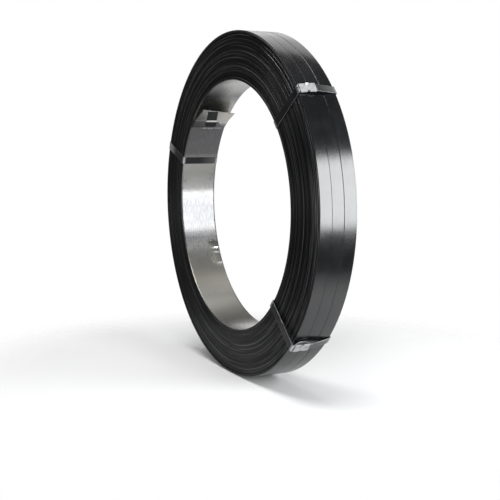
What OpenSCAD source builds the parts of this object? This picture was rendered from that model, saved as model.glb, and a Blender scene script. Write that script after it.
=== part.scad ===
// Coil of black steel strapping, wound side by side in columns on a bright steel core hoop.
// Ties of narrow strap, each closed with a crimped seal, hold the turns together.
// The coil stands on its rim. Its axis is Y, and the origin is the centre of the bore.

/* [Strapping] */
// Width of the strap that is wound up
strap_w = 19; // [13:0.5:32]
// Thickness of the strap
strap_t = 0.5; // [0.4:0.05:1]
// Turns from the core hoop out to the rim
turns = 154; // [40:2:200]
// Straps lying side by side across the coil
columns = 3; // [1:1:6]
// Gap between neighbouring columns
column_gap = 0.8; // [0.3:0.1:2]

/* [Coil ends] */
// Turns that stand in line with each other, as one step of an end
turns_per_step = 5; // [2:1:12]
// How far the steps of an end stand out of line
end_scatter = 0.8; // [0.2:0.1:3]
// How far the steps near the rim stand out of line, where the winding is looser
rim_scatter = 2; // [0.2:0.1:4]
// Depth of the looser winding below the rim
rim_depth = 16; // [5:1:40]
// How far the outermost step is pushed towards the near end
rim_shift = 1.2; // [0:0.1:3]
// How much further the inner turns stand out than the rim at the near end
near_cone = 4.8; // [0:0.1:8]
// How much further the inner turns stand out than the rim at the far end
far_cone = 2; // [0:0.1:8]

/* [Core hoop] */
// Diameter of the bore, inside the hoop
bore_d = 406; // [250:1:508]
// Thickness of the hoop's steel
hoop_t = 0.7; // [0.4:0.1:1.5]
// How far the hoop's near edge sits inside the near end of the coil
hoop_inset = 0.5; // [0.2:0.1:5]
// How far the hoop's far edge stands out of the far end of the coil
hoop_outset = 0.6; // [0:0.1:3]

/* [Lock tab] */
// Where the tab leaves the hoop, in degrees round the bore
tab_angle = 140.7; // [100:0.1:150]
// Length of the tab's first run, from the hoop to its knee
tab_root_len = 22.5; // [20:0.5:30]
// Lean of the first run into the bore, from the hoop's tangent
tab_root_lean = 17; // [14:1:25]
// Length of the tab's second run at its near side, from its knee to its free edge
tab_end_len = 39.5; // [20:0.5:50]
// Lean of the second run into the bore, from the same tangent
tab_end_lean = 26; // [20:1:40]
// Skew of the tab's free edge, which leaves the far side shorter
tab_end_skew = 10.7; // [0:0.1:15]
// Where the slot begins on the first run
slot_start = 1.4; // [1:0.1:3]
// Length of the slot along the first run
slot_len = 16.5; // [14:0.5:17]
// Near edge of the slot, along the axis
slot_near = -11.2; // [-14:0.1:-10]
// Width of the slot at the tab's root
slot_root_w = 36; // [30:1:40]
// Width of the slot at its upper end
slot_top_w = 24; // [22:1:30]
// Length of the lip that is bent up below the slot
lip_len = 6.5; // [4:0.5:10]
// Lean of the lip into the bore
lip_lean = 12; // [6:1:16]

/* [Strap end] */
// Where the strap's inner end leaves the turns, along the axis
end_place = 5.2; // [3:0.1:8]
// Skew of the strap's inner end across the tab, in degrees
end_skew = 17.7; // [0:0.1:20]
// Length of the strap's inner end that lies on the tab's second run
end_len = 32; // [10:0.5:34]
// Length along the tab of the bridge that holds the strap's inner end
bridge_len = 4; // [3:0.5:6]

/* [Ties] */
// Width of the tie straps
tie_w = 13; // [8:0.5:16]
// Thickness of the tie straps
tie_t = 0.5; // [0.3:0.05:0.8]
// Place of the upper tie round the coil, in degrees
tie_upper_angle = 39.5; // [10:0.5:80]
// Place of the left tie round the coil, in degrees
tie_left_angle = 160; // [153:0.5:200]
// Place of the lower tie round the coil, in degrees
tie_lower_angle = -42.5; // [-70:0.5:-10]
// Height of the tight ties above the rim, at the near end of their seals
tight_rise = 1.6; // [1.4:0.1:3]
// How much higher the tight ties stand at the far end of their seals
tight_arch = 3; // [0:0.1:5]
// Height of the slack lower tie above the rim, under its seal
slack_rise = 7.5; // [7:0.5:12]
// How far the slack tie hangs out past the near end
slack_out = 3; // [1:0.5:5]
// How far the slack tie's inner layer sags away from its seal, towards the rim
slack_sag = 5.6; // [4:0.1:5.8]

/* [Seals] */
// Length of a seal along its tie
seal_len = 25; // [20:1:32]
// Thickness of the seal's steel
seal_wall = 0.8; // [0.5:0.1:1]
// Width of each lip that is folded under the tie
seal_lip = 4.5; // [2:0.5:5]
// Place of the seals along the axis, from the middle of the coil
seal_place = -16.5; // [-16.5:0.5:8]
// Radius of the half-round crimp notches in the seal's edges
notch_r = 2.4; // [1:0.1:3]
// Length of the ear that the crimp bends up at one edge
ear_len = 2.6; // [1.5:0.1:4]
// Lean of the ear, away from the coil
ear_lean = 40; // [10:5:60]
// Tie strap that shows beyond each end of a tight tie's seal as a double layer
overlap_tail = 1; // [0.5:0.5:3]
// Tie strap that shows beyond each end of the slack tie's seal
slack_tail = 4; // [3.5:0.5:5]

/* [Clearances] */
// Gap between the hoop and the first turn
winding_gap = 0.1; // [0.05:0.05:0.3]
// Gap between the strap's inner end and the tab that holds it
lock_gap = 0.15; // [0.05:0.05:0.3]
// Gap between a tie and the coil that it holds
tie_gap = 0.15; // [0.05:0.05:0.3]
// Gap between a seal and its tie
seal_gap = 0.15; // [0.05:0.05:0.3]

/* [Hidden] */
$fn = 180;

// Golden angle, which spreads the steps of an end without a pattern
GOLDEN = 137.508;
NEAR_PHASE = 20;
FAR_PHASE = 75;
STEP_PHASE = 140;
// Extra depth that carries a cut clear of the metal
CUT = 1;

coil_w = columns * strap_w + (columns - 1) * column_gap;
bore_r = bore_d / 2;
hoop_r = bore_r + hoop_t;
first_turn_r = hoop_r + winding_gap;
rim_r = first_turn_r + turns * strap_t;
steps = ceil(turns / turns_per_step);
loose_steps = rim_depth / (turns_per_step * strap_t);
hoop_near = -coil_w / 2 - near_cone + hoop_inset;
hoop_far = coil_w / 2 + far_cone + hoop_outset;
knee_bend = tab_end_lean - tab_root_lean;
bridge_w = strap_w / cos(end_skew) + bridge_len * tan(end_skew) + 2 * lock_gap;
bridge_place = end_place - (tab_root_len - bridge_len / 2) * tan(end_skew);

// Even noise from 0 to 1, the same each time, for step i
function spread(i, phase) = 0.5 + 0.5 * sin(i * GOLDEN + phase);

// Turns below step i: steps are a third thicker or thinner than the rest, and the last ends at the rim
function turns_below(i) =
  i == 0 ? 0 : i >= steps ? turns : min(turns, round((i + (spread(i, STEP_PHASE) - 0.5) * 2 / 3) * turns_per_step));
function step_r(i) = first_turn_r + turns_below(i) * strap_t;

// How far a step stands out of its end, more so in the looser winding near the rim
function loose(i) = max(0, 1 - (steps - 1 - i) / loose_steps);
function step_out(i, phase) = (end_scatter + (rim_scatter - end_scatter) * loose(i)) * spread(i, phase);

// How far an end's cone stands out: whole at the first turn, and falling to nothing at the rim
function cone_out(r, cone) = cone * (rim_r - r) / (rim_r - first_turn_r);

// The outermost step sits nearer to the near end as a whole
function near_end(i) = -coil_w / 2 - (
  i == steps - 1 ? rim_shift : cone_out(step_r(i), near_cone) + step_out(i, NEAR_PHASE) - rim_shift / 2);
function far_end(i) = coil_w / 2 + (
  i == steps - 1 ? -rim_shift : cone_out(step_r(i), far_cone) + step_out(i, FAR_PHASE));

near_rim_most = min([for (i = [0:steps - 1]) if (loose(i) > 0) near_end(i)]);
far_rim_most = max([for (i = [0:steps - 1]) if (loose(i) > 0) far_end(i)]);
// Least slopes of the straight lines that pass an end's steps from the looser winding to the bore
near_slope = max([for (i = [0:steps - 1]) if (loose(i) == 0) (near_rim_most - near_end(i)) / (rim_r - step_r(i + 1))]);
far_slope = max([for (i = [0:steps - 1]) if (loose(i) == 0) (far_end(i) - far_rim_most) / (rim_r - step_r(i + 1))]);

// Axial place of the middle of a gap between columns, on the outermost step
function gap_middle(i) = -coil_w / 2 - rim_shift + i * (strap_w + column_gap) - column_gap / 2;

// Places what is drawn flat round the coil's axis: x is the radius, y the place along the axis
module turned() {
  rotate([-90, 0, 0]) rotate_extrude() children();
}

// Frame on the inside of the hoop at an angle: x runs up the tab at its lean, z points out to the hoop
module on_hoop(angle, lean) {
  translate([bore_r * cos(angle), 0, bore_r * sin(angle)]) rotate([0, -(angle - 90 - lean), 0]) children();
}

// Frame at the tab's knee, where the second run begins
module at_knee() {
  on_hoop(tab_angle, tab_root_lean) translate([tab_root_len, 0, 0]) rotate([0, knee_bend, 0]) children();
}

// Carries a shape that is drawn along x and out to z across the coil, between two places on the axis
module across(y0, y1) {
  translate([0, y1, 0]) rotate([90, 0, 0]) linear_extrude(y1 - y0) children();
}

// The knee's corner, moved into the bore by a distance
function knee_corner(inward) = [tab_root_len, 0] - inward * [tan(knee_bend / 2), 1];

// A point on the second run, so far from the knee and so far into the bore
function on_end_run(along, inward) =
  [tab_root_len, 0] + along * [cos(knee_bend), -sin(knee_bend)] - inward * [sin(knee_bend), cos(knee_bend)];

// The strap's inner end: out of the first turn, through the slot and up the tab, at a skew
module strap_end() {
  root = [slot_start + strap_t, first_turn_r - bore_r + strap_t + slot_start * sin(tab_root_lean)];
  top = [slot_start + slot_len - strap_t, -lock_gap];
  inward = lock_gap + strap_t;
  face = [root, top, knee_corner(lock_gap), on_end_run(end_len, lock_gap)];
  back = [on_end_run(end_len, inward), knee_corner(inward), top - [0, strap_t], root + [strap_t, -strap_t]];
  half_w = strap_w / 2 / cos(end_skew);
  reach = tab_root_len + end_len;
  drift = reach * tan(end_skew);
  on_hoop(tab_angle, tab_root_lean) intersection() {
    across(end_place - drift - strap_w, end_place + strap_w) polygon(concat(face, back));
    translate([0, end_place, -reach]) linear_extrude(2 * reach)
      polygon([[0, -half_w], [reach, -half_w - drift], [reach, half_w - drift], [0, half_w]]);
  }
}

module windings() {
  near_steps = [for (i = [0:steps - 1], e = [0, 1]) [step_r(i + e), near_end(i)]];
  far_steps = [for (i = [steps - 1:-1:0], e = [1, 0]) [step_r(i + e), far_end(i)]];
  color("#16171a") {
    turned() difference() {
      polygon(concat(near_steps, far_steps));
      if (columns > 1) for (i = [1:columns - 1])
        translate([rim_r - strap_t, gap_middle(i) - column_gap / 2]) square([strap_t + CUT, column_gap]);
    }
    strap_end();
  }
}

// The tab's two runs, carried across the hoop's whole width and cut off at a skew
module tab_runs() {
  // the first run starts a little early, inside the hoop's own metal, and the cut ends the second
  start = [-hoop_t / sin(tab_root_lean), 0];
  reach = tab_end_len + CUT;
  skew = tan(tab_end_skew);
  difference() {
    on_hoop(tab_angle, tab_root_lean) across(hoop_near, hoop_far) polygon([
      start, knee_corner(0), on_end_run(reach, 0),
      on_end_run(reach, -hoop_t), knee_corner(-hoop_t), start + [0, hoop_t]
    ]);
    at_knee() translate([tab_end_len, hoop_near, -CUT]) linear_extrude(hoop_t + 2 * CUT) polygon([
      [CUT * skew, -CUT], [-(hoop_far - hoop_near + CUT) * skew, hoop_far - hoop_near + CUT],
      [2 * CUT, hoop_far - hoop_near + CUT], [2 * CUT, -CUT]
    ]);
  }
}

// The lip below the slot, which also starts inside the hoop's own metal
module slot_lip() {
  bury = hoop_t / sin(lip_lean);
  lip_angle = tab_angle + lip_len / bore_r * 180 / PI;
  on_hoop(lip_angle, lip_lean) translate([-bury, slot_near, 0])
    cube([bury + lip_len, slot_root_w, hoop_t]);
}

// The bridge stands at both sides of the strap's inner end, below the knee, and passes over it
module bridge() {
  inside_h = strap_t + 2 * lock_gap;
  on_hoop(tab_angle, tab_root_lean) translate([tab_root_len - bridge_len, bridge_place, 0]) difference() {
    translate([0, -bridge_w / 2 - hoop_t, -inside_h - hoop_t])
      cube([bridge_len, bridge_w + 2 * hoop_t, inside_h + 1.5 * hoop_t]);
    translate([-CUT, -bridge_w / 2, -inside_h]) cube([bridge_len + 2 * CUT, bridge_w, inside_h]);
  }
}

// The slot goes through the tab and through the hoop behind it
module slot_cut() {
  depth = slot_len * sin(tab_root_lean) + 2 * hoop_t + CUT;
  on_hoop(tab_angle, tab_root_lean) translate([slot_start, slot_near, -CUT]) linear_extrude(depth + CUT)
    polygon([[0, 0], [slot_len, 0], [slot_len, slot_top_w], [0, slot_root_w]]);
}

module core_hoop() {
  color("#b9bcbe") {
    difference() {
      union() {
        turned() translate([bore_r, hoop_near]) square([hoop_t, hoop_far - hoop_near]);
        intersection() {
          union() {
            tab_runs();
            slot_lip();
          }
          turned() translate([0, hoop_near]) square([bore_r + hoop_t / 2, hoop_far - hoop_near]);
        }
      }
      slot_cut();
    }
    bridge();
  }
}

// Places that a tie's loop passes, inside its strap: x is the radius, y the place along the axis
tie_bore_x = sqrt(bore_r * bore_r - tie_w * tie_w / 4) - tie_gap;
tie_rim_x = rim_r + tie_gap;
tie_near_rim = near_rim_most - tie_gap;
tie_near_bore = min(near_rim_most - near_slope * (rim_r - bore_r), hoop_near) - tie_gap;
tie_far_rim = far_rim_most + tie_gap;
tie_far_bore = max(far_rim_most + far_slope * (rim_r - bore_r), hoop_far) + tie_gap;

// A tie's flat under its seal: its half length, its middle, and its height and slope above the rim
function flat_half(slack) = seal_len / 2 + (slack ? slack_tail : overlap_tail);
function flat_place(slack) = seal_place - (slack ? slack_out : 0);
function flat_rise(slack) = slack ? slack_rise : tight_rise;
function flat_arch(slack) = slack ? 0 : tight_arch;

// Corners of a tie's loop; a slack tie hangs clear of the rim's near corner
function tie_loop(slack) = concat(
  [[tie_bore_x, tie_near_bore - (slack ? slack_out / 2 : 0)]],
  slack ? [] : [[tie_rim_x, tie_near_rim]],
  [
    [rim_r + flat_rise(slack), flat_place(slack) - flat_half(slack)],
    [rim_r + flat_rise(slack) + flat_arch(slack), flat_place(slack) + flat_half(slack)],
    [tie_rim_x, tie_far_rim],
    [tie_bore_x, tie_far_bore]
  ]
);

// Frame on the coil at an angle: x points out along the radius, y along the axis
module at_tie(angle) {
  rotate([0, -angle, 0]) children();
}

// Frame in the middle of a seal, on the strap's inside: y runs along the seal, x points out of it
module at_seal(slack) {
  translate([rim_r + flat_rise(slack) + flat_arch(slack) / 2, flat_place(slack), 0])
    rotate(-atan2(flat_arch(slack), 2 * flat_half(slack))) children();
}

// Outward normal of the edge from a to b of a loop that runs anticlockwise
function outward(a, b) = [b.y - a.y, a.x - b.x] / norm(b - a);

// A loop's corner i, moved out by the strap's thickness
function outer_corner(loop, i) =
  let (
    n = len(loop),
    before = outward(loop[(i + n - 1) % n], loop[i]),
    after = outward(loop[i], loop[(i + 1) % n])
  )
  loop[i] + tie_t * (before + after) / (1 + before * after);

// The strap's other end: doubled under the seal, or sagging away from it in a slack tie
module other_end(slack) {
  half = flat_half(slack);
  at_seal(slack) {
    if (slack) {
      // the bow ends inside the strap above it, short of the flat's corners
      bow_half = half - 2 * tie_t;
      bow_r = (bow_half * bow_half + slack_sag * slack_sag) / (2 * slack_sag);
      intersection() {
        translate([bow_r - slack_sag, 0]) difference() {
          circle(r = bow_r);
          circle(r = bow_r - tie_t);
        }
        translate([-slack_sag - CUT, -half]) square([slack_sag + CUT + tie_t / 2, 2 * half]);
      }
    } else {
      translate([tie_t / 2, -half]) square([1.5 * tie_t, 2 * half]);
    }
  }
}

module tie_outline(slack) {
  loop = tie_loop(slack);
  difference() {
    polygon([for (i = [0:len(loop) - 1]) outer_corner(loop, i)]);
    polygon(loop);
  }
  other_end(slack);
}

// Half-round crimp notches in the edges of a seal and of the strap in it
module notches(slack) {
  seal_edge = tie_w / 2 + seal_gap + seal_wall;
  height = 2 * (2 * tie_t + seal_gap + seal_wall + CUT);
  at_seal(slack) for (edge = [-1, 1]) translate([0, 0, edge * seal_edge])
    rotate([0, 90, 0]) cylinder(r = notch_r, h = height, center = true, $fn = 48);
}

module tie(angle, slack) {
  color("#24262a") at_tie(angle) difference() {
    translate([0, 0, -tie_w / 2]) linear_extrude(tie_w) tie_outline(slack);
    notches(slack);
  }
}

// A rectangle with round corners, centred on its own middle
module rounded(w, h, r) {
  square([w - 2 * r, h], center = true);
  square([w, h - 2 * r], center = true);
  for (x = [-1, 1], y = [-1, 1]) translate([x * (w / 2 - r), y * (h / 2 - r)]) circle(r = r, $fn = 48);
}

// Section of a seal, folded round a strap of some layers and open below: x is outward, y across the strap
module seal_section(layers) {
  inner_h = layers * tie_t + 2 * seal_gap;
  inner_w = tie_w + 2 * seal_gap;
  mouth = inner_w - 2 * seal_lip + 2 * seal_wall;
  translate([layers * tie_t / 2, 0]) difference() {
    rounded(inner_h + 2 * seal_wall, inner_w + 2 * seal_wall, seal_wall);
    square([inner_h, inner_w], center = true);
    translate([-inner_h / 2 - seal_wall - CUT, -mouth / 2]) square([inner_h / 2 + seal_wall + CUT, mouth]);
  }
}

// The ear that the crimp bends up out of the notch at the upper edge
module ear(layers) {
  ear_w = 2 * notch_r;
  hinge = tie_w / 2 + seal_gap + seal_wall - notch_r;
  translate([layers * tie_t + seal_gap + seal_wall * sin(ear_lean), 0, hinge]) rotate([0, ear_lean, 0])
    translate([0, -ear_w / 2, -seal_wall]) cube([seal_wall, ear_w, ear_len + seal_wall]);
}

module seal(angle, slack) {
  layers = slack ? 1 : 2;
  color("#c9cccd") at_tie(angle) {
    difference() {
      at_seal(slack) translate([0, seal_len / 2, 0]) rotate([90, 0, 0]) linear_extrude(seal_len) seal_section(layers);
      notches(slack);
    }
    at_seal(slack) ear(layers);
  }
}

windings();
core_hoop();
tie(tie_upper_angle, false);  // tie_upper
tie(tie_left_angle, false);  // tie_left
tie(tie_lower_angle, true);  // tie_lower
seal(tie_upper_angle, false);  // seal_upper
seal(tie_left_angle, false);  // seal_left
seal(tie_lower_angle, true);  // seal_lower
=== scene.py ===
import math
import random

import bpy
import numpy as np
from mathutils import Matrix, Vector


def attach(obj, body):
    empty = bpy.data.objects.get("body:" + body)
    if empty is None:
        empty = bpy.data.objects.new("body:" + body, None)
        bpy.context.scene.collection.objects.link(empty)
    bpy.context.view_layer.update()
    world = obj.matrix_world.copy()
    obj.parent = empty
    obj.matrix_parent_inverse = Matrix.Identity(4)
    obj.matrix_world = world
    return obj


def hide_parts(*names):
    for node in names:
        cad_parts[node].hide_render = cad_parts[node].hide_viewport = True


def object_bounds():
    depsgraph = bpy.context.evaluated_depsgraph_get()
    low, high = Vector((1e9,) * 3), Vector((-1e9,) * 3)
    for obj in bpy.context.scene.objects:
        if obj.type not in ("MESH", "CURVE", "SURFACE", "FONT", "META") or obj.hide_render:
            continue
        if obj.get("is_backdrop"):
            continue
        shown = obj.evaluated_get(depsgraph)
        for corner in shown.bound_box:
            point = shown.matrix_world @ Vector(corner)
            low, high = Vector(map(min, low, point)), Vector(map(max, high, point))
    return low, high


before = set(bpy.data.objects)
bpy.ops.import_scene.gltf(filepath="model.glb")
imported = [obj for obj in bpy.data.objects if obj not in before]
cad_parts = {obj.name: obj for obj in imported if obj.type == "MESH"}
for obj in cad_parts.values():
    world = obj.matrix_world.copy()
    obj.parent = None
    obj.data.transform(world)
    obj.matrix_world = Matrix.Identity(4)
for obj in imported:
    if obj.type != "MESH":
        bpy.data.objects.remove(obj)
CAD_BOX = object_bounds()

bl_info = {
    "name": "Steel strapping coil",
    "version": (1, 0, 0),
    "blender": (4, 5, 0),
    "location": "View3D > Sidebar > Strapping coil",
    "description": "Dresses a coil of black steel strapping: its turns, core hoop, ties and seals, "
                   "and a plain studio",
    "category": "Object",
}


# Sizes that the solids have too: lengths in metres, angles in degrees, skews as slopes

COLUMNS = 3
TURNS_PER_STEP = 5
END_SCATTER = 0.0008
RIM_SCATTER = 0.002
RIM_DEPTH = 0.016
RIM_SHIFT = 0.0012
NEAR_CONE = 0.0048
FAR_CONE = 0.002
GOLDEN_ANGLE = 137.508
COUNT_PHASE, NEAR_PHASE, FAR_PHASE = 140, 20, 75

BORE_RADIUS = 0.203
HOOP_NEAR, HOOP_FAR = -0.0336, 0.0319
TAB_ANGLE = 140.7
TAB_ROOT_LEAN, TAB_END_LEAN = 17, 26
TAB_ROOT_LENGTH, TAB_END_LENGTH = 0.0225, 0.0395
TAB_END_SKEW = math.tan(math.radians(10.7))
TAB_BEND_RADIUS = 0.006
SLOT_LOW, SLOT_HIGH = 0.0014, 0.0179
SLOT_NEAR = -0.0112
SLOT_ROOT_WIDTH, SLOT_TOP_WIDTH = 0.036, 0.024
LIP_LENGTH, LIP_LEAN = 0.0065, 12
LOCK_GAP = 0.00015
STRAP_END_PLACE = 0.0052
STRAP_END_SKEW = math.tan(math.radians(17.7))
STRAP_END_LENGTH = 0.032
BRIDGE_LENGTH = 0.004

# Corners of the ties' loops, inside the strap, as radius and place along the axis

BORE_SIDE, RIM_SIDE = 0.202746, 0.28095
FAR_CORNERS = [(RIM_SIDE, 0.03136), (BORE_SIDE, 0.03227)]
TIGHT_LOOP = [(BORE_SIDE, -0.034445), (RIM_SIDE, -0.03081), (0.2824, -0.03), (0.2854, -0.003)] + FAR_CORNERS
SLACK_LOOP = [(BORE_SIDE, -0.035945), (0.2883, -0.036), (0.2883, -0.003)] + FAR_CORNERS
SLACK_SAG, SLACK_REACH = 0.0054, 0.0155

# Each tie: its name, its place round the axis, whether it is slack, and how bare its edges are

TIES = (("upper", 39.5, False, 0.5), ("left", 160.0, False, 0.3), ("lower", -42.5, True, 1.0))


# Films, painted shade and dents on the hoop: how much at which angle round the axis, in degrees. The oil
# table is partly oil film and partly painted shade: it darkens the steel angle by angle to dim and shape the
# reflections of the lamps and the room

OIL_AND_SHADE = (
    (0, 0.2), (60, 0.2), (100, 0.45), (110, 0.5), (117, 0.75), (124, 0.25), (132, 0.3), (138, 0.9),
    (156, 0.92), (162, 0.5), (170, 0.5), (175, 0.8), (177, 0.65), (180, 0.85), (184, 0.93), (188, 0.92),
    (192, 0.9), (196, 0.8), (198, 0.88), (201, 0.85), (206, 0.1), (216, 0.0), (224, 0.0), (230, 0.4),
    (236, 0.56), (243, 0.28), (250, 0.05), (275, 0.0), (300, 0.2), (360, 0.2))
# Painted shade on the hoop's near side beside the lock tab, where its shadow and dark reflections fall
NEAR_SHADE = ((0, 0.0), (104, 0.0), (111, 0.35), (120, 0.25), (123, 0.0), (360, 0.0))
AGE = ((0, 0.0), (205, 0.0), (220, 0.9), (250, 0.8), (262, 0.3), (280, 0.0), (360, 0.0))
DENTS = ((0, 0.0), (203, 0.0), (206, 1.0), (214, 1.0), (218, 0.0), (360, 0.0))

# Where along the axis the near side's painted shade fades out, and the dents set in

NEAR_SHADE_FADE = (-0.012, 0.008)
DENTS_FADE = (0.01, 0.022)


# Lamps: name, place, size, power, the point each looks at, and colour

LAMPS = (
    ("right softbox", (0.96, 0.49, 0.165), (0.5, 0.7), 12.5, (0, 0, 0.03), (0.965, 0.985, 1.0)),
    ("top softbox", (0.1, -0.4, 1.65), (1.5, 1.0), 30.0, (0, -0.1, -0.28), (1, 1, 1)),
    ("front strip", (1.73, -1.18, 0.26), (0.42, 0.9), 16.0, (0.1, 0, 0), (1, 1, 1)),
    ("back strip", (-0.29, 0.3, 0.625), (0.86, 0.34), 1.1, (0.08, 0, 0.27), (1, 1, 1)))

# Camera, as fitted to the photo: its direction in degrees, its eye in rim radii, its focal length in pixels

CAMERA_AZIMUTH, CAMERA_ELEVATION = 63.073, 6.991
CAMERA_RIM = 0.28065
EYE_BACK, EYE_RIGHT, EYE_DOWN = 5.445, 0.0123, 0.265
FOCAL_PIXELS, PHOTO_PIXELS = 924, 500
SENSOR_WIDTH = 36

# A length that only keeps comparisons safe, and about a full turn in radians, for random starts

TINY = 0.00001
ROUND = 6.28

# Rounding of a strap's edges, as a share of its thickness

STRIP_EDGE = 0.3


# Settings


def length(name, description, default):
    """A size that a user may change."""
    return bpy.props.FloatProperty(
        name=name, description=description, default=default, unit="LENGTH", precision=5)


def colour(name, description, default):
    """A colour that a user may change."""
    return bpy.props.FloatVectorProperty(name=name, description=description, default=default, subtype="COLOR")


def brightness(name, description, default):
    """A brightness from 0 to 1 that a user may change."""
    return bpy.props.FloatProperty(name=name, description=description, default=default, min=0, max=1)


class StrapSettings(bpy.types.PropertyGroup):
    turn_count: bpy.props.IntProperty(
        name="Turns", description="Turns of strap from the core hoop out to the rim", default=154, min=20)
    thickness: length("Strap thickness", "Thickness of one turn", 0.0005)
    width: length("Strap width", "Width of the strap in one column", 0.019)
    column_gap: length("Column gap", "Gap between the columns on the rim", 0.0008)
    first_radius: length("First turn", "Radius of the first turn's inside", 0.2038)
    wander: length("Wander", "How far single turns sink below the end as they go round", 0.00035)
    paint: colour("Paint", "Black paint on the flat of the strap", (0.0038, 0.004, 0.0046))
    slit_edge: colour(
        "Slit edge", "Bare steel where the paint is rubbed from the slit edges", (0.3, 0.303, 0.31))


class HoopSettings(bpy.types.PropertyGroup):
    radius: length("Bore radius", "Radius inside the hoop", BORE_RADIUS)
    thickness: length("Hoop thickness", "Thickness of the hoop's steel", 0.0007)
    steel: colour("Steel", "Bare cold-rolled steel", (0.56, 0.555, 0.54))
    stain: colour("Stain", "Thin age stains on the steel", (0.53, 0.515, 0.455))
    # This dark colour is laid on both as oil film and as painted shade.
    oil_and_shade: colour("Oil", "Dark oil film on the steel", (0.075, 0.075, 0.08))


class TieSettings(bpy.types.PropertyGroup):
    width: length("Tie width", "Width of a tie strap", 0.013)
    thickness: length("Tie thickness", "Thickness of a tie strap", 0.0005)
    fold_radius: length("Fold radius", "Inside radius where a tie folds over an edge", 0.0007)
    paint: colour("Paint", "Dark paint on the ties", (0.006, 0.0062, 0.007))
    bare: colour("Bare steel", "Steel that shows at the ties' edges and folds", (0.42, 0.42, 0.42))
    # This grey is laid on both as scuffing and as painted sheen.
    scuffed_and_sheen: colour("Scuffed paint", "Paint rubbed grey on the ties", (0.23, 0.229, 0.226))


class SealSettings(bpy.types.PropertyGroup):
    zinc: colour("Zinc", "Bright zinc on the seals", (0.37, 0.374, 0.378))
    dull: colour("Dull zinc", "Zinc that the crimping tool has rubbed dull", (0.25, 0.253, 0.257))
    edge_round: length("Edge rounding", "Rounding of the seals' edges", 0.00025)


class StageSettings(bpy.types.PropertyGroup):
    floor: colour("Floor", "Colour of the plain floor", (0.86, 0.86, 0.86))
    floor_radius: length("Floor radius", "Reach of the round floor, which fades out at its edge", 0.58)
    backdrop: brightness("Backdrop", "Brightness of the white walls", 1.0)
    right_wall: brightness("Right wall", "Brightness of the wall that the rim faces", 0.11)
    left_wall: brightness("Left wall", "Brightness of the wall that the near end faces", 0.08)
    ceiling: brightness("Ceiling", "Brightness of the ceiling", 0.1)


# Shapes


def place(radius, angle, y):
    """A point at a radius and an angle round the coil's axis, in metres and radians."""
    return (radius * math.cos(angle), y, radius * math.sin(angle))


def add_piece(name, verts, faces, along=None, values=None, smooth=True):
    """Adds a mesh object.

    along holds each vertex's place along and across its strip, and values named numbers for each vertex.
    """
    mesh = bpy.data.meshes.new(name)
    mesh.from_pydata([tuple(v) for v in verts], [], [tuple(f) for f in faces])
    loops = np.empty(len(mesh.loops), dtype=np.int32)
    mesh.loops.foreach_get("vertex_index", loops)
    if along is not None:
        layer = mesh.uv_layers.new(name="strip")
        layer.data.foreach_set("uv", np.asarray(along, dtype=np.float32)[loops].ravel())
    for key, value in (values or {}).items():
        field = mesh.attributes.new(key, "FLOAT", "POINT")
        field.data.foreach_set("value", np.asarray(value, dtype=np.float32).ravel())
    mesh.polygons.foreach_set("use_smooth", np.full(len(mesh.polygons), smooth))
    mesh.validate()
    mesh.update()
    piece = bpy.data.objects.new(name, mesh)
    bpy.context.scene.collection.objects.link(piece)
    return piece


def turned_faces(rows, segments):
    """Faces of a turned surface whose vertices go round the axis row by row."""
    faces = []
    for k in range(rows - 1):
        a, b = k * segments, (k + 1) * segments
        for j in range(segments):
            n = (j + 1) % segments
            faces.append((a + j, b + j, b + n, a + n))
    return faces


def round_the_axis(segments):
    """Angles round the coil's axis, from its lowest point."""
    return np.linspace(-0.5 * math.pi, 1.5 * math.pi, segments, endpoint=False)


def swell(angles, waves, phase):
    """A wave round the axis, from 0 to 1."""
    return 0.5 + 0.5 * np.cos(waves * angles + phase)


def turned(name, radii, places, values, sharp, flip=False, finishes=None):
    """A turned surface: radii and places along the axis are arrays of rows by segments.

    sharp says which rows are sharp rings, and finishes which finish each face between two rows has.
    """
    rows, segments = radii.shape
    angles = round_the_axis(segments)
    verts = np.stack([radii * np.cos(angles), places, radii * np.sin(angles)], axis=-1).reshape(-1, 3)
    run = np.concatenate([[0.0], np.cumsum(np.hypot(np.diff(radii[:, 0]), np.diff(places[:, 0])))])
    share = (angles[None, :] - angles[0]) / (2 * math.pi)
    along = np.stack(np.broadcast_arrays(share, run[:, None]), axis=-1).reshape(-1, 2)
    faces = turned_faces(rows, segments)
    if flip:
        faces = [f[::-1] for f in faces]
    piece = add_piece(name, verts, faces, along, values)
    mesh = piece.data
    ends = np.empty(2 * len(mesh.edges), dtype=np.int32)
    mesh.edges.foreach_get("vertices", ends)
    row = ends.reshape(-1, 2) // segments
    ring = (row[:, 0] == row[:, 1]) & np.asarray(sharp)[row[:, 0]]
    mesh.attributes.new("sharp_edge", "BOOLEAN", "EDGE").data.foreach_set("value", ring)
    if finishes is not None:
        mesh.polygons.foreach_set("material_index", np.asarray(finishes, dtype=np.int32).ravel())
    return piece


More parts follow.
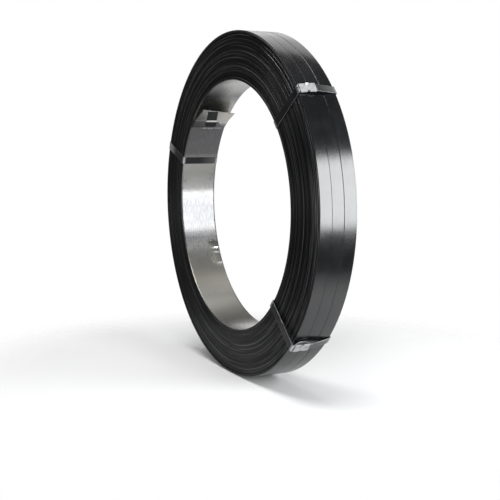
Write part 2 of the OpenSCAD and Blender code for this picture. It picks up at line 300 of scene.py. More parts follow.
def filleted(points, radius, closed, steps=5):
    """A flat path with its corners rounded, where a corner with short sides gets a smaller radius."""
    most_of_side = 0.45
    least_radius = 1e-7
    pts = [np.asarray(p, float) for p in points]
    n = len(pts)
    path = []
    for i in range(n):
        p = pts[i]
        if not closed and i in (0, n - 1):
            path.append(p)
            continue
        before, after = pts[i - 1] - p, pts[(i + 1) % n] - p
        la, lb = np.linalg.norm(before), np.linalg.norm(after)
        u, w = before / la, after / lb
        half = math.acos(max(-1.0, min(1.0, float(u @ w)))) / 2
        cut = min(radius / math.tan(half), most_of_side * la, most_of_side * lb)
        r = cut * math.tan(half)
        if r < least_radius:
            path.append(p)
            continue
        bis = (u + w) / np.linalg.norm(u + w)
        centre = p + bis * r / math.sin(half)
        a0 = p + u * cut - centre
        a1 = p + w * cut - centre
        sweep = math.atan2(a0[0] * a1[1] - a0[1] * a1[0], float(a0 @ a1))
        for s in range(steps + 1):
            c, d = math.cos(sweep * s / steps), math.sin(sweep * s / steps)
            path.append(centre + np.array([a0[0] * c - a0[1] * d, a0[0] * d + a0[1] * c]))
    return np.array(path)


def dense(path, step, closed):
    """The same path with points no further apart than step."""
    out = []
    n = len(path)
    for i in range(n if closed else n - 1):
        a, b = path[i], path[(i + 1) % n]
        parts = max(1, math.ceil(float(np.linalg.norm(b - a)) / step))
        out.extend(a + (b - a) * k / parts for k in range(parts))
    if not closed:
        out.append(path[-1])
    return np.array(out)


def normals_of(path, closed):
    """Left-hand normals of a flat path."""
    n = len(path)
    out = []
    for i in range(n):
        a = path[i - 1] if closed or i > 0 else path[0]
        b = path[(i + 1) % n] if closed or i < n - 1 else path[-1]
        d = (b - a) / np.linalg.norm(b - a)
        out.append((-d[1], d[0]))
    return np.array(out)


def folds_of(path, closed):
    """How sharply a flat path turns at each point, from 0 on a straight to 1 in a fold."""
    full_fold = 0.15
    turns = np.zeros(len(path))
    for i in range(len(path) if closed else len(path) - 2):
        a, b, c = (path[(i + k) % len(path)] for k in range(3))
        u, w = b - a, c - b
        bend = abs(math.atan2(u[0] * w[1] - u[1] * w[0], float(u @ w)))
        turns[(i + 1) % len(path)] = min(1.0, bend / full_fold)
    return turns


def strip(name, path, width, thickness, to_space, closed, shift=None, marks=None, worn=1.0, cells=6):
    """A flat strap along a flat path, as thick as thickness and centred on the path, with its edges rounded.

    to_space takes a point of the path and a place across it. shift moves the strap across as it goes, marks
    holds named numbers for each point of the path, and worn says how bare the strap's edges are.
    """
    normals = normals_of(path, closed)
    b = STRIP_EDGE * thickness
    half, deep = width / 2, thickness / 2
    flat = np.concatenate([[-half + b], np.linspace(-half + 2 * b, half - 2 * b, cells), [half - b]])
    section = (
        [(-half, -deep + b)] + [(c, -deep) for c in flat] + [(half, -deep + b)]
        + [(half, deep - b)] + [(c, deep) for c in flat[::-1]] + [(-half, deep - b)])
    m = len(section)
    n = len(path)
    lengths = np.concatenate([[0.0], np.cumsum(np.linalg.norm(np.diff(path, axis=0), axis=1))])
    folds = folds_of(path, closed)
    verts, along, rub = [], [], []
    for i in range(n):
        move = 0.0 if shift is None else shift[i]
        for c, h in section:
            verts.append(to_space(path[i] + normals[i] * h, c + move))
            along.append((lengths[i], c))
            rub.append(worn if abs(c) > half - 1.5 * b else folds[i])
    faces = []
    for i in range(n if closed else n - 1):
        a, e = i * m, ((i + 1) % n) * m
        for j in range(m):
            k = (j + 1) % m
            faces.append((a + j, a + k, e + k, e + j))
    if not closed:
        faces.append(tuple(range(m))[::-1])
        faces.append(tuple((n - 1) * m + j for j in range(m)))
    values = {"rub": rub}
    for key, value in (marks or {}).items():
        values[key] = np.repeat(value, m)
    return add_piece(name, verts, faces, along, values)


def round_edges(piece, width, degrees):
    """Rounds the edges of a piece that turn by more than an angle."""
    edge = piece.modifiers.new("edges", "BEVEL")
    edge.width = width
    edge.segments = 2
    edge.limit_method = "ANGLE"
    edge.angle_limit = math.radians(degrees)


# Finishes


class Nodes:
    """Short calls for building a node tree."""

    def __init__(self, tree):
        self.tree = tree

    def add(self, kind, *links, **settings):
        node = self.tree.nodes.new(kind)
        for key, value in settings.items():
            setattr(node, key, value)
        for socket, source in links:
            if isinstance(source, bpy.types.NodeSocket):
                self.tree.links.new(source, node.inputs[socket])
            else:
                node.inputs[socket].default_value = source
        return node

    def math(self, operation, a, b, clamp=False):
        return self.add("ShaderNodeMath", (0, a), (1, b), operation=operation, use_clamp=clamp).outputs[0]

    def times(self, a, b, clamp=False):
        return self.math("MULTIPLY", a, b, clamp)

    def plus(self, a, b, clamp=False):
        return self.math("ADD", a, b, clamp)

    def blend(self, factor, a, b):
        return self.add("ShaderNodeMix", (0, factor), (6, a), (7, b), data_type="RGBA").outputs[2]

    def ramp(self, factor, low, high, out_low=0.0, out_high=1.0):
        return self.add(
            "ShaderNodeMapRange", (0, factor), (1, low), (2, high), (3, out_low), (4, out_high),
            interpolation_type="SMOOTHSTEP").outputs[0]

    def noise(self, at, scale=1.0, detail=1.0, roughness=0.5):
        return self.add(
            "ShaderNodeTexNoise", ("Vector", at), ("Scale", scale), ("Detail", detail),
            ("Roughness", roughness)).outputs[0]

    def space(self):
        return self.add("ShaderNodeTexCoord").outputs["Object"]

    def strip_place(self):
        return self.add("ShaderNodeUVMap", uv_map="strip").outputs[0]

    def stretched(self, at, scale):
        return self.add("ShaderNodeMapping", (0, at), (3, scale)).outputs[0]

    def marked(self, name):
        return self.add("ShaderNodeAttribute", attribute_name=name).outputs["Fac"]

    def group(self, tree, **values):
        node = self.add("ShaderNodeGroup", node_tree=tree)
        for key, value in values.items():
            node.inputs[key.replace("_", " ")].default_value = value
        return node.outputs

    def link(self, source, node, socket):
        self.tree.links.new(source, node.inputs[socket])

    def bump(self, shader, height, strength, distance):
        bump = self.add("ShaderNodeBump", ("Height", height), ("Strength", strength), ("Distance", distance))
        self.link(bump.outputs[0], shader, "Normal")


def new_group(name, inputs, outputs):
    """An empty node group of plain numbers, with the defaults of its inputs."""
    tree = bpy.data.node_groups.new(name, "ShaderNodeTree")
    for label, default in inputs:
        socket = tree.interface.new_socket(label, in_out="INPUT", socket_type="NodeSocketFloat")
        socket.default_value = default
    for label in outputs:
        tree.interface.new_socket(label, in_out="OUTPUT", socket_type="NodeSocketFloat")
    nodes = Nodes(tree)
    return nodes, nodes.add("NodeGroupInput").outputs, nodes.add("NodeGroupOutput")


def rolling_grain():
    """Fine lines that rolling leaves along a strip, and broad patches, each as a mask."""
    if "rolling grain" in bpy.data.node_groups:
        return bpy.data.node_groups["rolling grain"]
    n, given, out = new_group("rolling grain", [("Along", 30.0), ("Across", 4000.0)], ["Mask", "Patch"])
    parts = n.add("ShaderNodeSeparateXYZ", (0, n.strip_place())).outputs
    along, across = n.times(parts[0], given["Along"]), n.times(parts[1], given["Across"])
    lines = n.add("ShaderNodeCombineXYZ", (0, along), (1, across)).outputs[0]
    fine = n.noise(lines, scale=1.0, detail=3.0, roughness=0.6)
    broad = n.noise(n.space(), scale=28.0, detail=3.0, roughness=0.55)
    n.link(n.ramp(fine, 0.3, 0.7), out, "Mask")
    n.link(n.ramp(broad, 0.35, 0.65), out, "Patch")
    return n.tree


def rubbed_edges():
    """Where paint is rubbed off: the marked edges, broken up by small patches."""
    if "rubbed edges" in bpy.data.node_groups:
        return bpy.data.node_groups["rubbed edges"]
    n, given, out = new_group("rubbed edges", [("Amount", 0.5), ("Patch Size", 160.0)], ["Mask"])
    patch = n.noise(n.space(), scale=given["Patch Size"], detail=4.0, roughness=0.65)
    broken = n.ramp(n.plus(patch, n.math("SUBTRACT", given["Amount"], 0.5)), 0.4, 0.6)
    n.link(n.times(n.marked("rub"), broken, clamp=True), out, "Mask")
    return n.tree


def new_finish(name):
    """An empty material with its shader, ready for colours and masks."""
    material = bpy.data.materials.new(name)
    material.use_nodes = True
    return material, Nodes(material.node_tree), material.node_tree.nodes["Principled BSDF"]


def rgba(colour, shade=1.0):
    """A colour for a socket, made lighter or darker by a factor."""
    return (*(c * shade for c in colour), 1.0)


def strap_paint(s):
    """Black waxed paint on the flat of the strap."""
    material, n, shader = new_finish("strap paint")
    grain = n.group(rolling_grain(), Along=60.0, Across=2600.0)
    rub = n.group(rubbed_edges(), Amount=0.03, Patch_Size=120.0)
    tone = n.blend(grain["Patch"], rgba(s.paint), rgba(s.paint, 1.6))
    n.link(n.blend(rub["Mask"], tone, rgba(s.slit_edge)), shader, "Base Color")
    rough = n.plus(n.times(grain["Mask"], 0.06), n.times(grain["Patch"], 0.04))
    n.link(n.plus(rough, 0.158), shader, "Roughness")
    n.bump(shader, grain["Mask"], strength=0.05, distance=0.0002)
    shader.inputs["Specular IOR Level"].default_value = 0.78
    return material


def dull_strap(s):
    """Black paint that has gone dull, on the strap's inner end."""
    material, n, shader = new_finish("dull strap paint")
    grain = n.group(rolling_grain(), Along=300.0, Across=2600.0)
    rub = n.group(rubbed_edges(), Amount=0.25, Patch_Size=200.0)
    tone = n.blend(grain["Patch"], rgba(s.paint, 1.4), rgba(s.paint, 2.6))
    n.link(n.blend(rub["Mask"], tone, rgba(s.slit_edge)), shader, "Base Color")
    n.link(n.plus(n.times(grain["Mask"], 0.1), 0.45), shader, "Roughness")
    n.bump(shader, grain["Mask"], strength=0.05, distance=0.0002)
    shader.inputs["Specular IOR Level"].default_value = 0.12
    return material


def strap_ends(s):
    """The slit edges of the turns: black, with some turns rubbed to dull steel."""
    material, n, shader = new_finish("strap slit edges")
    lines = n.noise(n.stretched(n.strip_place(), (6, 500, 1)), scale=1.0, detail=2.0)
    rubbed = n.times(n.marked("tone"), n.ramp(lines, 0.45, 0.65, 0.0, 0.55))
    rubbed = n.math("MAXIMUM", rubbed, n.marked("bare"))
    n.link(n.blend(rubbed, rgba(s.paint, 0.8), rgba(s.slit_edge)), shader, "Base Color")
    n.link(n.ramp(lines, 0.3, 0.7, 0.4, 0.26), shader, "Roughness")
    n.link(n.times(rubbed, 0.9), shader, "Metallic")
    shader.inputs["Specular IOR Level"].default_value = 0.09
    return material


def core_steel(s):
    """Bare rolled steel with fine lines, age stains, oil films and painted shade, dents and a slight
    waviness.
    """
    material, n, shader = new_finish("core steel")
    grain = n.group(rolling_grain(), Along=90.0, Across=1500.0)
    space = n.space()
    stain = n.ramp(n.noise(space, scale=14.0, detail=4.0, roughness=0.6), 0.45, 0.7)
    aged = n.math("MAXIMUM", n.times(stain, 0.7), n.marked("age"))
    uneven = n.times(n.math("SUBTRACT", grain["Mask"], 0.5), 0.08)
    # The oil mark darkens the steel both as oil film and as painted shade.
    film_and_shade = n.plus(n.marked("oil_and_shade"), uneven, clamp=True)
    steel = n.blend(aged, rgba(s.steel), rgba(s.stain))
    n.link(n.blend(film_and_shade, steel, rgba(s.oil_and_shade)), shader, "Base Color")
    rough = n.plus(n.times(grain["Mask"], 0.07), n.times(aged, 0.05))
    n.link(n.plus(rough, 0.24), shader, "Roughness")
    wave = n.noise(space, scale=34.0, detail=1.0, roughness=0.4)
    ripple = n.noise(n.stretched(n.strip_place(), (84, 14, 1)), scale=1.0, detail=1.0)
    dents = n.times(n.times(ripple, n.marked("dent")), 26.0)
    n.bump(shader, n.plus(n.plus(n.times(grain["Mask"], 0.03), wave), dents), strength=0.25, distance=0.0006)
    shader.inputs["Metallic"].default_value = 1.0
    return material


def tie_paint(s):
    """Dark paint on the ties, rubbed bright along the edges, and grey where it is scuffed and where a painted
    sheen lightens it.
    """
    material, n, shader = new_finish("tie paint")
    grain = n.group(rolling_grain(), Along=500.0, Across=5000.0)
    rub = n.group(rubbed_edges(), Amount=0.62, Patch_Size=150.0)
    tone = n.blend(grain["Patch"], rgba(s.paint), rgba(s.paint, 1.7))
    scuff_and_sheen = n.times(n.marked("scuff_and_sheen"), n.ramp(grain["Mask"], 0.0, 1.0, 0.75, 1.0))
    tone = n.blend(scuff_and_sheen, tone, rgba(s.scuffed_and_sheen))
    n.link(n.blend(rub["Mask"], tone, rgba(s.bare)), shader, "Base Color")
    n.link(n.plus(n.times(grain["Mask"], 0.1), 0.26), shader, "Roughness")
    n.link(n.times(rub["Mask"], 0.85), shader, "Metallic")
    n.bump(shader, grain["Patch"], strength=0.15, distance=0.0004)
    shader.inputs["Specular IOR Level"].default_value = 0.17
    return material


def seal_zinc(s):
    """Bright zinc, dented and rubbed dull by the crimping."""
    material, n, shader = new_finish("seal zinc")
    space = n.space()
    dent = n.noise(space, scale=190.0, detail=3.0, roughness=0.5)
    spangle = n.add("ShaderNodeTexVoronoi", ("Vector", space), ("Scale", 420.0)).outputs["Distance"]
    n.link(n.blend(n.ramp(dent, 0.45, 0.68), rgba(s.zinc), rgba(s.dull)), shader, "Base Color")
    n.link(n.ramp(spangle, 0.0, 0.8, 0.4, 0.55), shader, "Roughness")
    n.bump(shader, dent, strength=0.6, distance=0.0012)
    shader.inputs["Metallic"].default_value = 0.35
    return material


def finish(piece, *materials):
    """Gives a piece its materials, and keeps which face has which."""
    made_of = np.zeros(len(piece.data.polygons), dtype=np.int32)
    piece.data.polygons.foreach_get("material_index", made_of)
    piece.data.materials.clear()
    for material in materials:
        piece.data.materials.append(material)
    piece.data.polygons.foreach_set("material_index", np.minimum(made_of, len(materials) - 1))


def settle(piece, slot, *nodes):
    """The piece rides on the coil's body and stands for the solids it covers, which it hides; slot is not
    used.
    """
    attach(piece, "root")
    if nodes:
        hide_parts(*nodes)


# The coil's ends, as the solids have them


def spread(i, phase):
    """An even scatter of the steps, from 0 to 1."""
    return 0.5 + 0.5 * math.sin(i * math.radians(GOLDEN_ANGLE) + math.radians(phase))


class Ends:
    """Where each step of turns ends, at the near and the far end of the coil."""

    def __init__(self, s):
        self.s = s
        self.steps = math.ceil(s.turn_count / TURNS_PER_STEP)
        self.last = self.steps - 1
        self.half = (COLUMNS * s.width + (COLUMNS - 1) * s.column_gap) / 2
        self.rim = s.first_radius + s.turn_count * s.thickness
        self.build = self.rim - s.first_radius

    def turns_below(self, i):
        if i == 0:
            return 0
        if i >= self.steps:
            return self.s.turn_count
        count = math.floor((i + (spread(i, COUNT_PHASE) - 0.5) * 2 / 3) * TURNS_PER_STEP + 0.5)
        return min(self.s.turn_count, count)

    def step_of(self, turn):
        return max(i for i in range(self.steps) if self.turns_below(i) <= turn)

    def looseness(self, i):
        return max(0.0, 1 - (self.last - i) / (RIM_DEPTH / (TURNS_PER_STEP * self.s.thickness)))

    def stand_out(self, i, phase, cone):
        depth = (self.build - self.turns_below(i) * self.s.thickness) / self.build
        scatter = END_SCATTER + (RIM_SCATTER - END_SCATTER) * self.looseness(i)
        return cone * depth + scatter * spread(i, phase)

    def near(self, i):
        if i == self.last:
            return -self.half - RIM_SHIFT
        return -self.half - (self.stand_out(i, NEAR_PHASE, NEAR_CONE) - RIM_SHIFT / 2)

    def far(self, i):
        return self.half + (-RIM_SHIFT if i == self.last else self.stand_out(i, FAR_PHASE, FAR_CONE))


def sunk_turns(s, ends, angles, seed):
    """How far each turn sinks below its step, by angle, and how rubbed its edge is.

    A step's turns share a wave, each turn has a small one of its own, and now and then one sinks further.
    """
    shared, shared_loose, own_most = 0.6, 1.8, 0.2
    odd_chance, odd_chance_loose, odd_least = 0.14, 0.16, 0.4
    rng = random.Random(seed)
    sunk, tones = [], []
    step_wave = {}
    for turn in range(s.turn_count):
        i = ends.step_of(turn)
        loose = ends.looseness(i)
        if i not in step_wave:
            size = s.wander * (shared + shared_loose * loose) * rng.random()
            phase = rng.random() * ROUND
            step_wave[i] = (size, phase, rng.choice((1, 1, 2)))
        size, phase, waves = step_wave[i]
        own = own_most * s.wander * rng.random()
        if rng.random() < odd_chance + odd_chance_loose * loose:
            own += s.wander * (odd_least + (1.0 + loose) * rng.random())
        own_phase = rng.random() * ROUND
        own_waves = rng.choice((1, 2, 2, 3))
        sunk.append(size * swell(angles, waves, phase) + own * swell(angles, own_waves, own_phase))
        tones.append(rng.random() ** 4)
    return np.array(sunk), np.array(tones)


def handling(ends, step):
    """How much a step's corners are rubbed by handling: fully at the rim, and a little at the bore."""
    rim_steps, at_bore, bore_steps = 12, 0.6, 6
    return max(0.0, 1 - (ends.last - step) / rim_steps, at_bore - step / bore_steps)


def bare_spots(rng, angles):
    """Short stretches of a turn's corner that are rubbed to bare steel, by angle."""
    spot_count = 16
    spots = np.zeros(len(angles))
    for _ in range(spot_count):
        middle = rng.uniform(0, 2 * math.pi)
        half = math.radians(rng.uniform(2.5, 11))
        depth = rng.uniform(0.1, 0.6)
        away = np.abs((angles - middle + math.pi) % (2 * math.pi) - math.pi)
        spots = np.maximum(spots, depth * np.clip(2 - 2 * away / half, 0, 1))
    return spots


# The lock tab's place on the hoop


class LeaningFrame:
    """A flat frame on the hoop's inside: x up a run that leans into the bore, y out to the hoop."""

    def __init__(self, angle, lean):
        turn = angle - math.pi / 2 - lean
        self.angle = angle
        self.origin = np.array(place(BORE_RADIUS, angle, 0.0))
        self.up = np.array([math.cos(turn), 0.0, math.sin(turn)])
        self.out = np.array([-math.sin(turn), 0.0, math.cos(turn)])

    def to_space(self, p, across):
        return self.origin + self.up * p[0] + self.out * p[1] + np.array([0.0, across, 0.0])


class LockTab(LeaningFrame):
    """The frame of the tab's first run, with its knee and its second run."""

    def __init__(self):
        super().__init__(math.radians(TAB_ANGLE), math.radians(TAB_ROOT_LEAN))
        self.bend = math.radians(TAB_END_LEAN) - math.radians(TAB_ROOT_LEAN)

    def knee(self, out):
        return np.array([TAB_ROOT_LENGTH + out * math.tan(self.bend / 2), out])

    def on_end_run(self, along, inward):
        return np.array([
            TAB_ROOT_LENGTH + along * math.cos(self.bend) - inward * math.sin(self.bend),
            -along * math.sin(self.bend) - inward * math.cos(self.bend)])


TAB = LockTab()


# Pieces


class COIL_OT_wound_strap(bpy.types.Operator):
    """Winds the strap: the turns' edges on both ends, the columns on the rim, and the strap's inner end"""

    bl_idname = "coil.wound_strap"
    bl_label = "Wound strap"

    def execute(self, context):
        s = context.scene.coil_strap
        ends = Ends(s)
        paint, edges = strap_paint(s), strap_ends(s)
        near = self.end_of_turns("near_turn_edges", s, ends, ends.near, inward=1.0, segments=160, seed=7)
        far = self.end_of_turns("far_turn_edges", s, ends, ends.far, inward=-1.0, segments=128, seed=11)
        columns = self.rim_columns(s, ends)
        tail = self.inner_end(s)
        for piece in (near, far):
            finish(piece, edges, paint)
        finish(columns, paint)
        finish(tail, dull_strap(s))
        settle(near, "strap_black", "windings")
        for piece in (far, columns, tail):
            settle(piece, "strap_black")
        return {"FINISHED"}

    @staticmethod
    def end_of_turns(name, s, ends, place_of, inward, segments, seed):
        """The edges of all turns at one end, with a wall of strap where the next turn lies deeper.

        A turn's sides, corners and groove are in strap thicknesses. A few turns have wide, rubbed corners.
        """
        side, groove_depth, wall_from, last_wall = 0.03, 1.5, 0.3, 0.004
        t = s.thickness
        angles = round_the_axis(segments)
        sunk, tones = sunk_turns(s, ends, angles, seed)
        deep = np.array([inward * place_of(ends.step_of(k)) for k in range(s.turn_count)])[:, None] + sunk
        rng = random.Random(seed + 1)
        none = np.zeros(segments)
        radii, places, tone = [np.full(segments, s.first_radius)], [none], [0.0]
        bare, finishes = [none], [np.ones(segments)]
        for turn in range(s.turn_count - 1):
            at = deep[turn]
            step = ends.step_of(turn)
            if step < ends.last and rng.random() < 0.05 + 0.17 * handling(ends, step):
                corner = 0.24 + 0.14 * rng.random()
                spots = bare_spots(rng, angles)
            else:
                corner = 0.02 + 0.05 * rng.random() ** 2
                spots = none
            groove = at + groove_depth * corner * t
            wall = np.abs(deep[turn + 1] - at) > wall_from * t
            rows = ((side, groove, none, none), (side + corner, at, none, none),
                    (1 - side - corner, at, none, spots), (1 - side, groove, wall, spots))
            for across, depth, made_of, rubbed in rows:
                radii.append(np.full(segments, s.first_radius + (turn + across) * t))
                places.append(inward * depth)
                tone.append(tones[turn])
                bare.append(rubbed)
                finishes.append(made_of)
        radii.append(np.full(segments, ends.rim - t))
        places.append(places[-1] + inward * last_wall)
        tone.append(0.0)
        bare.append(none)
        values = {"tone": np.repeat(tone, segments), "bare": np.concatenate(bare)}
        sharp = np.full(len(radii), True)
        return turned(name, np.array(radii), np.array(places), values, sharp, inward < 0, finishes)

    @staticmethod
    def rim_columns(s, ends):
        """The outermost turn of each column, a little out of true, over the turn below."""
        segments = 360
        out_of_true, crown, least_drop = 0.00012, 0.00008, 0.00006
        below_solid, middle_shift, chamfer = 0.0001, 0.0003, 0.0001
        near_skirt, near_inset, far_skirt, far_inset, lift = 0.003, 0.0004, 0.0012, 0.00005, 0.00003
        t = s.thickness
        # A column's edge: in from the edge and down, in strap thicknesses, and how worn it is there
        edge = ((0.0, -1.2, 0.0), (0.0, -0.18, 1.0), (0.05, -0.06, 1.0), (0.16, 0.0, 0.5), (0.5, 0.0, 0.0))
        angles = round_the_axis(segments)
        rng = random.Random(3)
        start = -ends.half - RIM_SHIFT
        radii = [np.full(segments, ends.rim - t - near_skirt)]
        places = [np.full(segments, start + near_inset)]
        rub = [0.0]
        for column in range(COLUMNS):
            a = start + column * (s.width + s.column_gap) - (middle_shift if column == 1 else 0.0)
            b = a + s.width
            true = out_of_true * swell(angles, rng.choice((1, 2)), rng.random() * ROUND)
            lean = out_of_true * np.cos(angles + rng.random() * ROUND)
            top = ends.rim - below_solid - true
            rows = [(a + i * t, down * t, worn) for i, down, worn in edge]
            rows += [(a + (b - a) * f, 0.0, 0.0) for f in (0.1, 0.3, 0.5, 0.7, 0.9)]
            rows += [(b - i * t, down * t, worn) for i, down, worn in edge[::-1]]
            for y, drop, worn in rows:
                side = (y - (a + b) / 2) / (b - a)
                bow = -crown * (2 * side) ** 2
                radii.append(top + drop + bow + np.minimum(0, lean * side - least_drop))
                places.append(np.full(segments, y))
                rub.append(worn)
        below = ends.rim - (s.turn_count - ends.turns_below(ends.last)) * t + lift
        brink = ends.far(ends.last - 1) - far_inset
        ledge = (
            (b - chamfer, below), (brink - chamfer, below),
            (brink, below - chamfer), (brink, below - far_skirt))
        sharp = [False] * len(radii) + [True] * len(ledge)
        for y, r in ledge:
            radii.append(np.full(segments, r))
            places.append(np.full(segments, y))
            rub.append(0.0)
        values = {"rub": np.repeat(rub, segments)}
        return turned("rim_columns", np.array(radii), np.array(places), values, sharp, flip=True)

    @staticmethod
    def inner_end(s):
        """The strap's inner end, which comes out through the slot and lies on the lock tab."""
        mid = LOCK_GAP + s.thickness / 2
        under, over = (0.0022, 0.001), (0.0168, -mid)
        points = [under, over, tuple(TAB.knee(-mid)), tuple(TAB.on_end_run(STRAP_END_LENGTH, mid))]
        path = dense(filleted(points, TAB_BEND_RADIUS, closed=False), step=0.002, closed=False)
        drift = [STRAP_END_PLACE - p[0] * STRAP_END_SKEW for p in path]
        return strip("strap_inner_end", path, s.width, s.thickness, TAB.to_space, False, shift=drift)


def film_at(table, angles):
    """The amounts that a table gives at angles round the axis."""
    return np.interp(np.degrees(angles) % 360, *zip(*table))


def tab_oil_shade_and_age(x, y):
    """Oil, painted shade, a painted highlight and age on the lock tab, at a height up its first run and a
    place along the axis. The tab is darkened by oil film and painted shade, and lightened towards the far
    side up its first run as a painted highlight.
    """
    above_knee = x > 0.021
    painted_highlight_side = float(np.interp(y, (0.002, 0.016), (0.0, 1.0)))
    climb = float(np.interp(x, (0.006, 0.016, 0.021), (0.0, 0.85, 0.7)))
    oil_and_shade = 0.85 + (-0.3 if above_knee else 0.13) * (1 - painted_highlight_side) - 0.8 * painted_highlight_side * climb
    return oil_and_shade, 0.95 * painted_highlight_side if above_knee else 0.0


class COIL_OT_core_hoop(bpy.types.Operator):
    """Bends the bright core hoop with its lock tab, slot, lip and bridge"""

    bl_idname = "coil.core_hoop"
    bl_label = "Core hoop"

    def execute(self, context):
        s = context.scene.coil_hoop
        steel = core_steel(s)
        ring = self.ring(s)
        settle(ring, "hoop_steel", "core_hoop")
        pieces = [ring, self.tab(s), self.lip(s), self.bridge(s)]
        for piece in pieces:
            finish(piece, steel)
        for piece in pieces[1:]:
            settle(piece, "hoop_steel")
        return {"FINISHED"}

    @staticmethod
    def ring(s):
        """The hoop's wall, with the opening behind the slot left out."""
        near, far = HOOP_NEAR, HOOP_FAR
        hole_low, hole_high = TAB.angle - 0.074, TAB.angle - 0.008
        hole_near, hole_far = -0.0105, 0.0135
        wall_cells, hole_cells, points_across = 340, 6, 9
        edge_band, edge_drop = 0.0002, 0.00015
        edge_oil, edge_reach = 0.6, 0.0003
        whole = hole_low + 2 * math.pi - hole_high
        marks = [hole_high + whole * k / wall_cells for k in range(wall_cells + 1)]
        marks += [hole_low + (hole_high - hole_low) * k / hole_cells for k in range(1, hole_cells)]
        across = [near, near + edge_band]
        for start, end in ((near, hole_near), (hole_near, hole_far), (hole_far, far)):
            across += list(np.linspace(start, end, points_across)[1:])
        across[-1:] = [far - edge_band, far]
        drops = [edge_drop] + [0.0] * (len(across) - 2) + [edge_drop]
        rows = [(s.radius + drop, y) for drop, y in zip(drops, across)]
        rows += [(s.radius + s.thickness - drop, y) for drop, y in zip(drops, across[::-1])]
        oil_and_shade, near_shade, age, dents = (film_at(table, np.array(marks)) for table in (OIL_AND_SHADE, NEAR_SHADE, AGE, DENTS))
        verts, along, marked = [], [], {"oil_and_shade": [], "age": [], "dent": []}
        for r, y in rows:
            verts += [place(r, a, y) for a in marks]
            along += [(a / (2 * math.pi), y) for a in marks]
            # The oil amount darkens the steel as oil film and as painted shade; the near amount beside the
            # tab is painted shade.
            film_and_shade = oil_and_shade + near_shade * np.interp(y, NEAR_SHADE_FADE, (1.0, 0.0))
            marked["oil_and_shade"].append(np.maximum(film_and_shade, edge_oil if min(y - near, far - y) < edge_reach else 0.0))
            marked["age"].append(age)
            marked["dent"].append(dents * np.interp(y, DENTS_FADE, (0.0, 1.0)))
        faces = []
        m, n = len(rows), len(marks)
        for k in range(m):
            e = (k + 1) % m
            low, high = sorted((rows[k][1], rows[e][1]))
            behind_slot = low > hole_near - TINY and high < hole_far + TINY
            for j in range(wall_cells if behind_slot else n):
                after = (j + 1) % n
                faces.append((k * n + j, k * n + after, e * n + after, e * n + j))
        return add_piece("core_ring", verts, faces, along, marked)

    @staticmethod
    def tab(s):
        """The tab's two runs as one bent sheet with the slot cut out and a skewed free edge."""
        root, inset, grain_scale = -0.0022, 0.0001, 0.8
        end_rows, cells = 10, 8
        near, far = HOOP_NEAR + inset, HOOP_FAR - inset
        corners = [(root, 0.0), (TAB_ROOT_LENGTH, 0.0), tuple(TAB.on_end_run(TAB_END_LENGTH, 0.0))]
        bend = filleted(corners, TAB_BEND_RADIUS, closed=False, steps=8)[1:]
        lows = list(np.linspace(root, SLOT_LOW, 4)) + list(np.linspace(SLOT_LOW, SLOT_HIGH, 10)[1:])
        bend_end, free_edge = bend[-2], bend[-1]
        rows = [(np.array([x, 0.0]), 0.0) for x in lows] + [(p, 0.0) for p in bend[:-1]]
        rows += [(bend_end, k / end_rows) for k in range(1, end_rows + 1)]

        def breaks(x):
            f = min(1.0, max(0.0, (x - SLOT_LOW) / (SLOT_HIGH - SLOT_LOW)))
            slot_far = SLOT_NEAR + SLOT_ROOT_WIDTH + (SLOT_TOP_WIDTH - SLOT_ROOT_WIDTH) * f
            return [*np.linspace(near, SLOT_NEAR, cells), *np.linspace(SLOT_NEAR, slot_far, cells)[1:],
                    *np.linspace(slot_far, far, cells)[1:]]

        columns = len(breaks(0.0))
        whole = float(np.linalg.norm(free_edge - bend_end))
        way = (free_edge - bend_end) / whole
        verts, along, marked = [], [], {"oil_and_shade": [], "age": []}
        for p, part in rows:
            for y in breaks(p[0]):
                q = p + way * (whole - (y - HOOP_NEAR) * TAB_END_SKEW) * part
                verts.append(TAB.to_space(q, y))
                along.append((q[0] * grain_scale, y))
                # The tab's oil mark is oil film and painted shade, with a painted highlight towards the far
                # side.
                oil_and_shade, age = tab_oil_shade_and_age(q[0], y)
                marked["oil_and_shade"].append(oil_and_shade)
                marked["age"].append(age)
        faces = []
        for k in range(len(rows) - 1):
            by_slot = rows[k][0][0] > SLOT_LOW - TINY and rows[k + 1][0][0] < SLOT_HIGH + TINY
            for j in range(columns - 1):
                if not (by_slot and cells - 1 <= j < 2 * (cells - 1)):
                    a = k * columns + j
                    faces.append((a, a + 1, a + columns + 1, a + columns))
        piece = add_piece("lock_tab", verts, faces, along, marked)
        sheet = piece.modifiers.new("thickness", "SOLIDIFY")
        sheet.thickness = s.thickness
        sheet.offset = -1.0
        round_edges(piece, s.thickness * 0.25, degrees=50)
        return piece

    @staticmethod
    def lip(s):
        """The lip bent up below the slot."""
        width, place_along = 0.0355, 0.0068
        # Points up the lip: height, distance out to the hoop, and oil
        points = ((-0.0024, 0.00035, 0.9), (0.0, 0.00035, 0.9), (0.0025, 0.0003, 0.9), (0.005, 0.00025, 0.88),
                  (0.0064, 0.0002, 0.5))
        leaning = LeaningFrame(TAB.angle + LIP_LENGTH / BORE_RADIUS, math.radians(LIP_LEAN))
        path = np.array([p[:2] for p in points])

        def to_space(p, across):
            return leaning.to_space(p, across + place_along)

        film_and_shade = {"oil_and_shade": [p[2] for p in points]}
        return strip("slot_lip", path, width, s.thickness * 0.95, to_space, False, marks=film_and_shade, cells=10)

